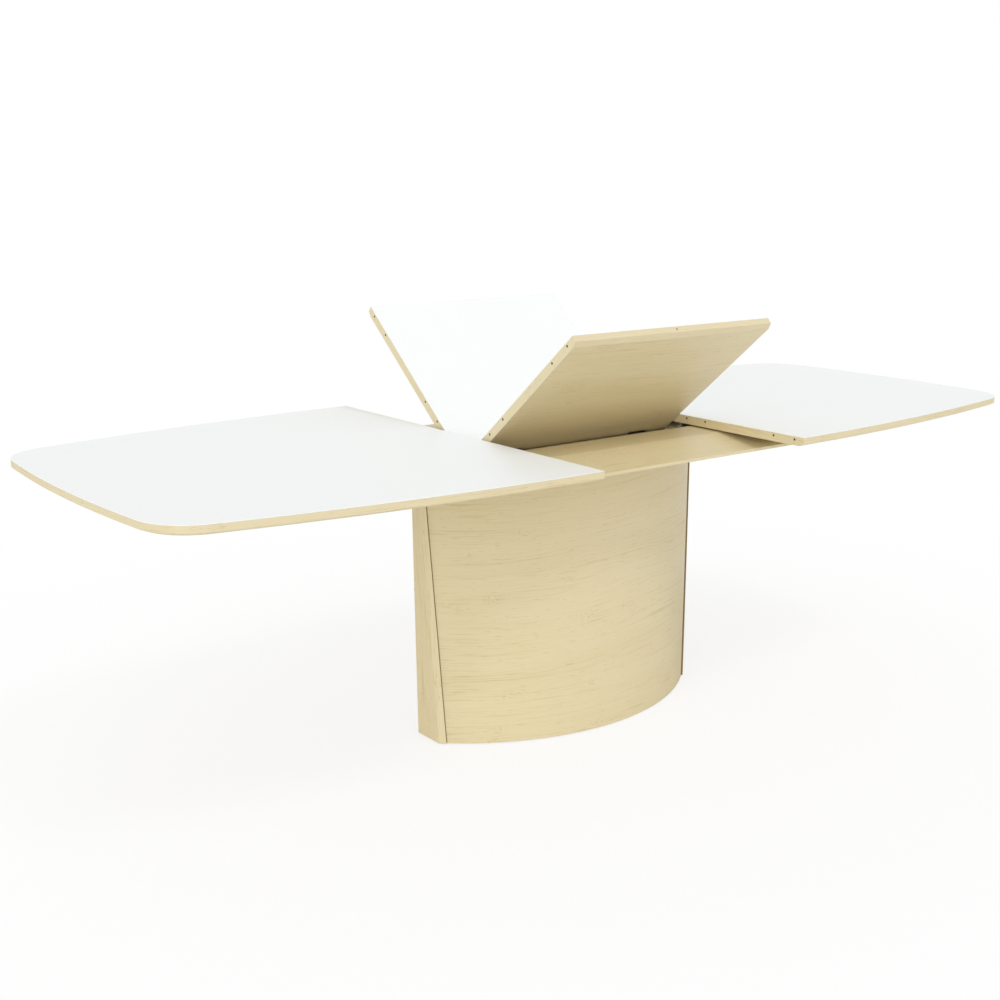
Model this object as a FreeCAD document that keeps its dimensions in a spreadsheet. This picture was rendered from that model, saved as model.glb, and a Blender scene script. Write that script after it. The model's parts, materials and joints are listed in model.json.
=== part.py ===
import FreeCAD, Part
import math
import os
import Sketcher

# Butterfly leaf table, millimetres. X runs along the table, +Y away from the front, Z up.
# The origin is on the floor under the middle of the pedestal. The leaf is half unfolded:
# its halves stand in a V, and both tops are pulled clear of its ends.

os.makedirs("parts", exist_ok=True)
doc = FreeCAD.newDocument("ButterflyLeafTable")
sheet = doc.addObject("Spreadsheet::Sheet", "Sizes")
V = FreeCAD.Vector
nodes = []


class Size:
    """A number together with the spreadsheet expression that gives it."""

    def __init__(self, value, text):
        self.value = float(value)
        self.text = text

    @staticmethod
    def of(other):
        if isinstance(other, Size):
            return other
        return Size(other, f"({float(other)!r})")

    def __add__(self, other):
        other = Size.of(other)
        return Size(self.value + other.value, f"({self.text} + {other.text})")

    def __sub__(self, other):
        other = Size.of(other)
        return Size(self.value - other.value, f"({self.text} - {other.text})")

    def __mul__(self, other):
        other = Size.of(other)
        return Size(self.value * other.value, f"({self.text} * {other.text})")

    def __truediv__(self, other):
        other = Size.of(other)
        return Size(self.value / other.value, f"({self.text} / {other.text})")

    def __neg__(self):
        return Size(-self.value, f"(-{self.text})")

    def __radd__(self, other):
        return Size.of(other) + self

    def __rsub__(self, other):
        return Size.of(other) - self

    def __rmul__(self, other):
        return Size.of(other) * self


def root(size):
    return Size(math.sqrt(size.value), f"sqrt({size.text})")


def tangent(angle):
    return Size(math.tan(math.radians(angle.value)), f"tan({angle.text})")


ZERO = Size(0, "0")


# ---------------------------------------------------------------- driving sizes

# tops and leaf
table_height = 740
laminate_thickness = 1
core_thickness = 21
edge_height = 16
bevel_width = 14
half_width = 515
leaf_length = 596
end_gap = 8
top_length = 958
side_radius = 4500
end_radius = 3500
corner_radius = 120

# alignment dowels, in pairs beside the middle and beside the long edges
dowel_radius = 2.5
dowel_clearance = 0.3
dowel_seat = 0.05
dowel_hole_depth = 14
dowel_reach = 7
dowel_drop = 8
dowel_inner = 130
dowel_pitch = 65
dowel_margin = 28
edge_hole_radius = 2.5
edge_hole_depth = 12

# fold of the leaf
fold_angle = 40
lift_per_degree = 1.28
pin_offset = 16
pin_depth = 4
pin_radius = 2
pin_clearance = 0.05
fold_gap = 0.55
head_place = 200
head_width = 20
head_wall = 3.5
head_neck = 15
knuckle_radius = 3.6
knuckle_width = 8
side_clearance = 0.3
notch_margin = 1.7
notch_reach = 6
plate_length = 60
plate_depth = 50
plate_start = 7
plate_thickness = 3
plate_clearance = 0.2

# deck: a slotted board between two thick rails whose tops fall towards a thin edge
slide_height = 22
deck_thickness = 18
deck_edge = 7
deck_bevel = 30
deck_half_length = 625
deck_setback = 145
deck_corner = 60
slot_half_width = 63
slot_end_gap = 6
slot_corner = 3
rail_gap = 4
rail_inner = 140
rail_crease = 240
rail_fall = 21
rail_screw_place = 110

# pedestal
shell_half_depth = 199
shell_thickness = 15
fit_clearance = 0.3
foot_gap = 3
end_half_length = 405
end_half_depth = 44.5
end_lean = 2.8
end_thickness = 22
panel_rise = 4
seam_inset = 15
seam_lean = 3.05
seam_width = 3
glide_height = 8
glide_radius = 20
plate_board = 18
glide_x = 170
glide_y = 125
glide_end = 330
cleat_height = 30
cleat_width = 20
cleat_half_length = 368

# guides and runners
guide_place = 98
guide_setback = 6
guide_length = 230
guide_half_width = 15
guide_height = 12
guide_wall = 2
guide_opening = 6
runner_clearance = 0.3
runner_setback = 10
runner_length = 780
runner_neck = 5
runner_flange = 18
runner_flange_thickness = 3
stop_travel = 12
stop_length = 12
strip_place = 190
strip_half_width = 14
strip_start = 400
strip_length = 190

# riser
post_gap = 32
post_radius = 8
bush_clearance = 0.05
flange_radius = 24
flange_thickness = 6
bush_half = 18
bush_half_depth = 20
bush_top = 68
bush_height = 57
beam_top = 75
beam_height = 30
beam_wall = 3
buffer_radius = 17
buffer_height = 43

# screws
screw_radius = 1.8
screw_head_radius = 3.4
screw_head_height = 1.5
screw_length = 14
screw_clearance = 0.05


def driving(alias, value, row):
    """Write one driving size into the sheet and return it as a Size."""
    sheet.set(f"A{row}", alias)
    sheet.set(f"B{row}", str(value))
    sheet.setAlias(f"B{row}", alias)
    return Size(value, f"Sizes.{alias}")


# every number named above goes into the sheet under its own name
numbers = [alias for alias, value in globals().items() if type(value) in (int, float)]
for row, alias in enumerate(numbers, 1):
    globals()[alias] = driving(alias, globals()[alias], row)

doc.recompute()

# places that follow from the driving sizes
top_underside = table_height - laminate_thickness - core_thickness
deck_top = top_underside - slide_height
deck_underside = deck_top - deck_thickness
rail_top = top_underside - rail_gap
edge_top = rail_top - rail_fall
inner_edge = leaf_length / 2 + end_gap
outer_end = inner_edge + top_length
pin_height = table_height - pin_depth - lift_per_degree * fold_angle
deck_half_width = half_width - deck_setback
# the end boards' edges stand proud of the shells, on an arc about the same centre, and meet
# the end faces at end_half_length and end_half_depth
bulge = shell_half_depth - end_half_depth
shell_radius = ((end_half_length * end_half_length + bulge * bulge - panel_rise * panel_rise)
                / ((bulge + panel_rise) * 2))
panel_radius = shell_radius + panel_rise
arc_centre = shell_radius - shell_half_depth
seam_half_length = end_half_length - seam_inset
shell_height = deck_underside - foot_gap
plate_top = glide_height + plate_board
guide_start = inner_edge + guide_setback
post_place = leaf_length / 2 + post_gap
dowel_outer = half_width - dowel_margin
dowel_places = (dowel_inner, dowel_inner + dowel_pitch, dowel_outer - dowel_pitch, dowel_outer)
notch_half = head_width / 2 + side_clearance + knuckle_width + notch_margin


# ---------------------------------------------------------------- sketch helpers

def new_body(label):
    body = doc.addObject("PartDesign::Body", label)
    body.Label = label
    return body


def node(obj, label=None):
    """Register an object as a named piece."""
    if label:
        obj.Label = label
    nodes.append(obj)
    return obj


def bind(obj, path, size):
    obj.setExpression(path, Size.of(size).text)


def sketch_on(body, name, role, offset=ZERO):
    """A sketch on one of the body's origin planes, moved along its normal."""
    sketch = body.newObject("Sketcher::SketchObject", name)
    plane = [f for f in body.Origin.OriginFeatures if f.Role == role][0]
    sketch.AttachmentSupport = [(plane, "")]
    sketch.MapMode = "FlatFace"
    sketch.AttachmentOffset = FreeCAD.Placement(V(0, 0, offset.value), FreeCAD.Rotation())
    bind(sketch, "AttachmentOffset.Base.z", offset)
    return sketch


def place_point(sketch, geometry, position, x, y):
    """Fix a point of the sketch at x, y from its origin."""
    along = sketch.addConstraint(
        Sketcher.Constraint("DistanceX", -1, 1, geometry, position, x.value))
    sketch.setExpression(f"Constraints[{along}]", x.text)
    up = sketch.addConstraint(
        Sketcher.Constraint("DistanceY", -1, 1, geometry, position, y.value))
    sketch.setExpression(f"Constraints[{up}]", y.text)


def polygon(sketch, points):
    """A closed outline of straight lines through points given as pairs of sizes."""
    points = [(Size.of(x), Size.of(y)) for x, y in points]
    first = sketch.GeometryCount
    count = len(points)
    for i in range(count):
        start = V(points[i][0].value, points[i][1].value, 0)
        end = V(points[(i + 1) % count][0].value, points[(i + 1) % count][1].value, 0)
        sketch.addGeometry(Part.LineSegment(start, end), False)
    for i in range(count):
        sketch.addConstraint(
            Sketcher.Constraint("Coincident", first + i, 2, first + (i + 1) % count, 1))
    for i, (x, y) in enumerate(points):
        place_point(sketch, first + i, 1, x, y)


def rectangle(sketch, x0, x1, y0, y1):
    polygon(sketch, [(x0, y0), (x1, y0), (x1, y1), (x0, y1)])


def circle(sketch, x, y, radius):
    x = Size.of(x)
    y = Size.of(y)
    ring = sketch.addGeometry(
        Part.Circle(V(x.value, y.value, 0), V(0, 0, 1), radius.value), False)
    limit = sketch.addConstraint(Sketcher.Constraint("Radius", ring, radius.value))
    sketch.setExpression(f"Constraints[{limit}]", radius.text)
    place_point(sketch, ring, 3, x, y)


def pad(body, sketch, length, both_ways=False, reverse=False):
    feature = body.newObject("PartDesign::Pad", sketch.Name + "_pad")
    feature.Profile = sketch
    feature.Length = length.value
    bind(feature, "Length", length)
    feature.Midplane = both_ways
    feature.Reversed = reverse
    sketch.Visibility = False
    doc.recompute()
    return feature


def pocket(body, sketch, length=None, both_ways=False, reverse=False):
    """Cut the sketch out of the body, and make sure that it removes material."""
    before = body.Shape.Volume
    feature = body.newObject("PartDesign::Pocket", sketch.Name + "_pocket")
    feature.Profile = sketch
    if length is None:
        feature.Type = "ThroughAll"
    else:
        feature.Length = length.value
        bind(feature, "Length", length)
    feature.Midplane = both_ways
    feature.Reversed = reverse
    sketch.Visibility = False
    doc.recompute()
    if body.Shape.Volume >= before - 0.01:
        raise RuntimeError(f"{feature.Name} removes nothing")
    return feature


def bevel(body, feature, edges, height, width, flip=False):
    """Bevel edges of the feature: height up the side, width along the underside."""
    cut = body.newObject("PartDesign::Chamfer", feature.Name + "_bevel")
    cut.Base = (feature, edges)
    cut.ChamferType = "Two distances"
    cut.Size = height.value
    cut.Size2 = width.value
    bind(cut, "Size", height)
    bind(cut, "Size2", width)
    cut.FlipDirection = flip
    doc.recompute()
    return cut


def round_corners(body, feature, edges, radius):
    """Round upright edges of the feature."""
    rounded = body.newObject("PartDesign::Fillet", feature.Name + "_round")
    rounded.Base = (feature, edges)
    rounded.Radius = radius.value
    bind(rounded, "Radius", radius)
    doc.recompute()
    return rounded


# ---------------------------------------------------------------- tops

def top_outline(sketch):
    """Boat-shaped half top: straight inner edge, long gentle sides, round corners, bowed end.

    The side arcs start square to the inner edge, so they run on from the leaf's straight sides.
    """
    side_y = half_width.value - side_radius.value
    end_x = outer_end.value - end_radius.value
    edge_x = inner_edge.value
    # the corner arc touches both the side arc and the end arc from inside
    reach_side = side_radius.value - corner_radius.value
    reach_end = end_radius.value - corner_radius.value
    apart = math.hypot(end_x - edge_x, side_y)
    along = (apart ** 2 + reach_side ** 2 - reach_end ** 2) / (2 * apart)
    across = math.sqrt(reach_side ** 2 - along ** 2)
    unit = V((end_x - edge_x) / apart, -side_y / apart, 0)
    corner = V(edge_x, side_y, 0) + unit * along + V(unit.y, -unit.x, 0) * across
    if corner.x < edge_x:
        corner = V(edge_x, side_y, 0) + unit * along - V(unit.y, -unit.x, 0) * across
    side_turn = math.atan2(corner.y - side_y, corner.x - edge_x)
    end_turn = math.atan2(corner.y, corner.x - end_x)
    right = math.pi / 2
    arcs = [
        (V(edge_x, -side_y, 0), side_radius, -right, -side_turn),
        (V(corner.x, -corner.y, 0), corner_radius, -side_turn, -end_turn),
        (V(end_x, 0, 0), end_radius, -end_turn, end_turn),
        (corner, corner_radius, end_turn, side_turn),
        (V(edge_x, side_y, 0), side_radius, side_turn, right),
    ]
    for centre, radius, start, end in arcs:
        ring = Part.Circle(centre, V(0, 0, 1), radius.value)
        arc = sketch.addGeometry(Part.ArcOfCircle(ring, start, end), False)
        limit = sketch.addConstraint(Sketcher.Constraint("Radius", arc, radius.value))
        sketch.setExpression(f"Constraints[{limit}]", radius.text)
    edge = sketch.addGeometry(Part.LineSegment(
        V(edge_x, half_width.value, 0), V(edge_x, -half_width.value, 0)), False)
    for i in range(4):
        sketch.addConstraint(Sketcher.Constraint("Tangent", i, 2, i + 1, 1))
    sketch.addConstraint(Sketcher.Constraint("Coincident", 4, 2, edge, 1))
    sketch.addConstraint(Sketcher.Constraint("Coincident", edge, 2, 0, 1))
    sketch.addConstraint(Sketcher.Constraint("Vertical", 0, 3, 0, 1))
    sketch.addConstraint(Sketcher.Constraint("Vertical", 4, 3, 4, 2))
    place_point(sketch, edge, 1, inner_edge, half_width)
    place_point(sketch, edge, 2, inner_edge, -half_width)
    place_point(sketch, 2, 3, outer_end - end_radius, ZERO)


def runner_screw_places():
    """Screws through the runner's top flange, left and right of the neck in turn."""
    places = []
    count = 5
    for side in (-1, 1):
        for i in range(count):
            x = inner_edge + runner_setback + runner_length * ((i + 0.5) / count)
            beside = (runner_neck + runner_flange) / 2
            if i % 2:
                beside = -beside
            places.append((x, guide_place * side + beside))
    return places


def turn_left(body):
    """The left top is the right one turned half round."""
    body.Placement = FreeCAD.Placement(V(0, 0, 0), FreeCAD.Rotation(V(0, 0, 1), 180))


def dowel_circles(sketch, radius, places=dowel_places, mirrored=True, height=None):
    for place in places:
        circle(sketch, place, height, radius)
        if mirrored:
            circle(sketch, -place, height, radius)


def make_top(side):
    left = side == "left"
    board = new_body(f"{side}_top_board")
    outline = sketch_on(board, f"{side}_top_outline", "XY_Plane", top_underside)
    top_outline(outline)
    slab = pad(board, outline, core_thickness)
    low_edges = []
    for i, edge in enumerate(slab.Shape.Edges, 1):
        low = edge.BoundBox.ZMax < top_underside.value + 0.01
        if low and edge.BoundBox.XMax > inner_edge.value + 0.01:
            low_edges.append(f"Edge{i}")
    bevel_height = core_thickness + laminate_thickness - edge_height
    bevel(board, slab, low_edges, bevel_height, bevel_width)
    holes = sketch_on(board, f"{side}_top_dowel_holes", "YZ_Plane", inner_edge)
    hole_radius = dowel_radius + (dowel_seat if left else dowel_clearance)
    dowel_circles(holes, hole_radius, height=table_height - dowel_drop)
    pocket(board, holes, dowel_hole_depth, reverse=True)
    pilots = sketch_on(board, f"{side}_top_pilots", "XY_Plane", top_underside)
    for x, y in runner_screw_places():
        circle(pilots, x, y, screw_radius + screw_clearance)
    pilot_depth = screw_length - runner_flange_thickness + screw_clearance
    pocket(board, pilots, pilot_depth, reverse=True)
    node(board)

    sheet_body = new_body(f"{side}_top_laminate")
    skin = sketch_on(sheet_body, f"{side}_laminate_outline", "XY_Plane",
                     table_height - laminate_thickness)
    top_outline(skin)
    pad(sheet_body, skin, laminate_thickness)
    node(sheet_body)

    pieces = [board, sheet_body]
    for y_side, name in ((-1, "front"), (1, "back")):
        # the left top is turned half round, so its local back is the table's front
        local_side = -y_side if left else y_side
        pieces.append(make_runner(f"{side}_{name}_runner", guide_place * local_side, local_side))
    screws = new_body(f"{side}_runner_screws")
    shanks = sketch_on(screws, f"{side}_runner_shanks", "XY_Plane",
                       top_underside - runner_flange_thickness)
    heads = sketch_on(screws, f"{side}_runner_heads", "XY_Plane",
                      top_underside - runner_flange_thickness)
    for x, y in runner_screw_places():
        circle(shanks, x, y, screw_radius)
        circle(heads, x, y, screw_head_radius)
    pad(screws, shanks, screw_length)
    pad(screws, heads, screw_head_height, reverse=True)
    pieces.append(node(screws))
    if left:
        dowels = new_body("left_top_dowels")
        ends = sketch_on(dowels, "left_top_dowel_circles", "YZ_Plane", inner_edge - dowel_reach)
        dowel_circles(ends, dowel_radius, height=table_height - dowel_drop)
        pad(dowels, ends, dowel_reach + dowel_hole_depth - dowel_seat)
        pieces.append(node(dowels))
        for piece in pieces:
            turn_left(piece)


def make_runner(name, y, y_side):
    """I-shaped runner: its lower flange slides in the guide, its stop meets the guide's end.

    The lower flange runs on past the inner edge of the top to carry the stop.
    """
    runner = new_body(name)
    start = inner_edge + runner_setback
    low = deck_top + guide_wall + runner_clearance
    high = deck_top + guide_height - guide_wall - runner_clearance
    foot = guide_half_width - guide_wall - runner_clearance
    under = top_underside - runner_flange_thickness
    profile = sketch_on(runner, f"{name}_profile", "YZ_Plane", start)
    polygon(profile, [
        (y - foot, low), (y + foot, low), (y + foot, high), (y + runner_neck, high),
        (y + runner_neck, under), (y + runner_flange, under),
        (y + runner_flange, top_underside), (y - runner_flange, top_underside),
        (y - runner_flange, under), (y - runner_neck, under),
        (y - runner_neck, high), (y - foot, high)])
    pad(runner, profile, runner_length)
    stop_face = guide_start - stop_travel
    tail = sketch_on(runner, f"{name}_tail", "YZ_Plane", stop_face - stop_length)
    rectangle(tail, y - foot, y + foot, low, high)
    pad(runner, tail, start + stop_length - (stop_face - stop_length))
    stop = sketch_on(runner, f"{name}_stop", "YZ_Plane", stop_face - stop_length)
    rectangle(stop, y - guide_half_width, y + guide_half_width,
              deck_top + runner_clearance, deck_top + guide_height)
    pad(runner, stop, stop_length)
    holes = sketch_on(runner, f"{name}_holes", "XY_Plane", under)
    for x, place in runner_screw_places():
        if place.value * y_side > 0:
            circle(holes, x, place, screw_radius + screw_clearance)
    pocket(runner, holes, runner_flange_thickness, reverse=True)
    return node(runner)


# ---------------------------------------------------------------- deck, guides and strips

def quarter_places():
    """Signs of the four corners: left or right, front or back."""
    for x_side, x_name in ((-1, "left"), (1, "right")):
        for y_side, y_name in ((-1, "front"), (1, "back")):
            yield x_side, y_side, f"{x_name}_{y_name}"


def guide_screw_places():
    places = []
    for x_side, y_side, _ in quarter_places():
        for share in (0.1, 0.5, 0.9):
            places.append(((guide_start + guide_length * share) * x_side, guide_place * y_side))
    return places


def cleat_places(x):
    """Four points on the middle line of the curved cleats, at a distance x from the middle."""
    middle = shell_radius - shell_thickness - fit_clearance - cleat_width / 2
    y = root(middle * middle - x * x) - arc_centre
    return [(x * x_side, y * y_side) for x_side, y_side, _ in quarter_places()]


def cleat_screw_places():
    """Screws down through the slotted board, outside the gap between the tops."""
    return cleat_places(post_place)


def rail_screw_places():
    """Screws up through the cleats into the rails."""
    return cleat_places(rail_screw_place)


def rounded_rectangle(sketch, half_x, half_y, radius):
    """Rectangle about the origin with round corners."""
    a, b, r = half_x, half_y, radius
    corners = [(-1, -1), (1, -1), (1, 1), (-1, 1)]
    for i, (sx, sy) in enumerate(corners):
        centre = V(sx * (a.value - r.value), sy * (b.value - r.value), 0)
        start = math.pi + i * math.pi / 2
        ring = Part.Circle(centre, V(0, 0, 1), r.value)
        arc = sketch.addGeometry(Part.ArcOfCircle(ring, start, start + math.pi / 2), False)
        place_point(sketch, arc, 3, (a - r) * sx, (b - r) * sy)
    for i in range(4):
        start = sketch.getPoint(i, 2)
        end = sketch.getPoint((i + 1) % 4, 1)
        line = sketch.addGeometry(Part.LineSegment(start, end), False)
        sketch.addConstraint(Sketcher.Constraint("Tangent", i, 2, line, 1))
        sketch.addConstraint(Sketcher.Constraint("Tangent", line, 2, (i + 1) % 4, 1))
    limit = sketch.addConstraint(Sketcher.Constraint("Radius", 0, r.value))
    sketch.setExpression(f"Constraints[{limit}]", r.text)


def deck_bevel_edges(feature, inner):
    """Edges round the underside, but not the ones that run along the table at y = inner."""
    edges = []
    for i, edge in enumerate(feature.Shape.Edges, 1):
        box = edge.BoundBox
        joint = box.YMax - box.YMin < 0.01 and abs(abs(box.YMax) - inner.value) < 0.01
        if box.ZMax < deck_underside.value + 0.01 and not joint:
            edges.append(f"Edge{i}")
    return edges


def make_deck():
    deck = new_body("deck")
    outline = sketch_on(deck, "deck_outline", "XY_Plane", deck_underside)
    rectangle(outline, -deck_half_length, deck_half_length, -rail_inner, rail_inner)
    slab = pad(deck, outline, deck_thickness)
    bevel_height = edge_top - deck_edge - deck_underside
    bevel(deck, slab, deck_bevel_edges(slab, rail_inner), bevel_height, deck_bevel)
    slot = sketch_on(deck, "deck_slot", "XY_Plane", deck_top)
    rounded_rectangle(slot, leaf_length / 2 + slot_end_gap, slot_half_width, slot_corner)
    pocket(deck, slot)
    pilots = sketch_on(deck, "deck_pilots", "XY_Plane", deck_top)
    for x, y in guide_screw_places():
        circle(pilots, x, y, screw_radius + screw_clearance)
    pilot_depth = screw_length - guide_wall + screw_head_height + screw_clearance
    pocket(deck, pilots, pilot_depth)
    through = sketch_on(deck, "deck_screw_holes", "XY_Plane", deck_top)
    sinks = sketch_on(deck, "deck_screw_sinks", "XY_Plane", deck_top)
    for x, y in cleat_screw_places():
        circle(through, x, y, screw_radius + screw_clearance)
        circle(sinks, x, y, screw_head_radius + screw_clearance)
    pocket(deck, through)
    pocket(deck, sinks, screw_head_height + screw_clearance)
    node(deck)


def make_deck_rails():
    """Rails glued to the slotted board: level beside the leaf, then falling to a thin edge."""
    bevel_height = edge_top - deck_edge - deck_underside
    for side, name in ((-1, "front"), (1, "back")):
        rail = new_body(f"{name}_deck_rail")
        outline = sketch_on(rail, f"{name}_rail_outline", "XY_Plane", deck_underside)
        rectangle(outline, -deck_half_length, deck_half_length,
                  rail_inner * side, deck_half_width * side)
        blank = pad(rail, outline, rail_top - deck_underside)
        corners = []
        for i, edge in enumerate(blank.Shape.Edges, 1):
            box = edge.BoundBox
            upright = box.ZMax - box.ZMin > 1
            if upright and abs(abs(box.YMax) - deck_half_width.value) < 0.01:
                corners.append(f"Edge{i}")
        rounded = round_corners(rail, blank, corners, deck_corner)
        bevel(rail, rounded, deck_bevel_edges(rounded, rail_inner), bevel_height, deck_bevel)
        slope = sketch_on(rail, f"{name}_rail_slope", "YZ_Plane")
        above = rail_top + rail_gap
        beyond = deck_half_width + deck_bevel
        polygon(slope, [
            (rail_crease * side, rail_top), (deck_half_width * side, edge_top),
            (beyond * side, edge_top), (beyond * side, above), (rail_crease * side, above)])
        pocket(rail, slope, deck_half_length * 2.2, both_ways=True)
        pilots = sketch_on(rail, f"{name}_rail_pilots", "XY_Plane", deck_underside)
        for x, y in rail_screw_places():
            if y.value * side > 0:
                circle(pilots, x, y, screw_radius + screw_clearance)
        pocket(rail, pilots, screw_length + screw_clearance, reverse=True)
        node(rail)


def make_guides():
    for x_side, y_side, name in quarter_places():
        guide = new_body(f"{name}_guide")
        y = guide_place * y_side
        start = guide_start if x_side > 0 else -(guide_start + guide_length)
        side, wall, mouth = guide_half_width, guide_wall, guide_opening
        low, high = deck_top, deck_top + guide_height
        profile = sketch_on(guide, f"{name}_guide_profile", "YZ_Plane", start)
        polygon(profile, [
            (y - side, low), (y + side, low), (y + side, high), (y + mouth, high),
            (y + mouth, high - wall), (y + side - wall, high - wall),
            (y + side - wall, low + wall), (y - side + wall, low + wall),
            (y - side + wall, high - wall), (y - mouth, high - wall),
            (y - mouth, high), (y - side, high)])
        pad(guide, profile, guide_length)
        holes = sketch_on(guide, f"{name}_guide_holes", "XY_Plane", low + wall)
        sinks = sketch_on(guide, f"{name}_guide_sinks", "XY_Plane", low + wall)
        for x, place in guide_screw_places():
            if x.value * x_side > 0 and place.value * y_side > 0:
                circle(holes, x, place, screw_radius + screw_clearance)
                circle(sinks, x, place, screw_head_radius + screw_clearance)
        pocket(guide, holes, guide_wall)
        pocket(guide, sinks, screw_head_height)
        node(guide)


def make_base_screws():
    """Flush screws of the guides and the deck, and screws up through the cleats."""
    for name, places, top, length in (
            ("guide_screws", guide_screw_places(), deck_top + guide_wall, screw_length),
            ("deck_screws", cleat_screw_places(), deck_top, deck_thickness + screw_length)):
        screws = new_body(name)
        heads = sketch_on(screws, f"{name}_heads", "XY_Plane", top)
        shanks = sketch_on(screws, f"{name}_shanks", "XY_Plane", top - screw_head_height)
        for x, y in places:
            circle(heads, x, y, screw_head_radius)
            circle(shanks, x, y, screw_radius)
        pad(screws, heads, screw_head_height, reverse=True)
        pad(screws, shanks, length, reverse=True)
        node(screws)
    screws = new_body("rail_screws")
    seat = deck_underside - cleat_height
    heads = sketch_on(screws, "rail_screw_heads", "XY_Plane", seat)
    shanks = sketch_on(screws, "rail_screw_shanks", "XY_Plane", seat)
    for x, y in rail_screw_places():
        circle(heads, x, y, screw_head_radius)
        circle(shanks, x, y, screw_radius)
    pad(screws, heads, screw_head_height, reverse=True)
    pad(screws, shanks, cleat_height + screw_length)
    node(screws)


def make_strips():
    """Low-friction strips on the rails, under the tops."""
    strips = new_body("slide_strips")
    outline = sketch_on(strips, "slide_strip_outline", "XY_Plane", rail_top)
    for x_side, y_side, _ in quarter_places():
        near = strip_start if x_side > 0 else -(strip_start + strip_length)
        y = strip_place * y_side
        rectangle(outline, near, near + strip_length, y - strip_half_width, y + strip_half_width)
    pad(strips, outline, rail_gap - runner_clearance)
    node(strips)


# ---------------------------------------------------------------- pedestal

def join(kind, name, parts):
    """Part boolean of two or more objects."""
    if kind == "Cut":
        result = doc.addObject("Part::Cut", name)
        result.Base, result.Tool = parts
    else:
        result = doc.addObject(f"Part::Multi{kind}", name)
        result.Shapes = parts
    for part in parts:
        part.Visibility = False
    return result


def block(name, x0, x1, y0, y1, z0, z1):
    box = doc.addObject("Part::Box", name)
    for length, low, high, axis in (("Length", x0, x1, "x"), ("Width", y0, y1, "y"),
                                    ("Height", z0, z1, "z")):
        low = Size.of(low)
        high = Size.of(high)
        bind(box, length, high - low)
        bind(box, f"Placement.Base.{axis}", low)
    return box


def lens(name, radius, z0, height):
    """Solid between two equal arcs, front and back, that share the shells' arc centres."""
    halves = []
    for side, half in ((1, "front"), (-1, "back")):
        drum = doc.addObject("Part::Cylinder", f"{name}_{half}")
        bind(drum, "Radius", radius)
        bind(drum, "Height", height)
        bind(drum, "Placement.Base.y", arc_centre * side)
        bind(drum, "Placement.Base.z", z0)
        halves.append(drum)
    return join("Common", name, halves)


def taper(name, half_length, lean):
    """Envelope with two leaning ends: half_length at the floor, wider towards the deck."""
    wedge = doc.addObject("Part::Wedge", name)
    wedge.Placement = FreeCAD.Placement(V(0, 0, 0), FreeCAD.Rotation(V(1, 0, 0), 90))
    top_half = half_length + deck_underside * tangent(lean)
    depth = panel_radius
    for path, size in (
            ("Ymin", ZERO), ("Ymax", deck_underside),
            ("Xmin", -half_length), ("Xmax", half_length), ("Zmin", -depth), ("Zmax", depth),
            ("X2min", -top_half), ("X2max", top_half), ("Z2min", -depth), ("Z2max", depth)):
        bind(wedge, path, size)
    return wedge


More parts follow.
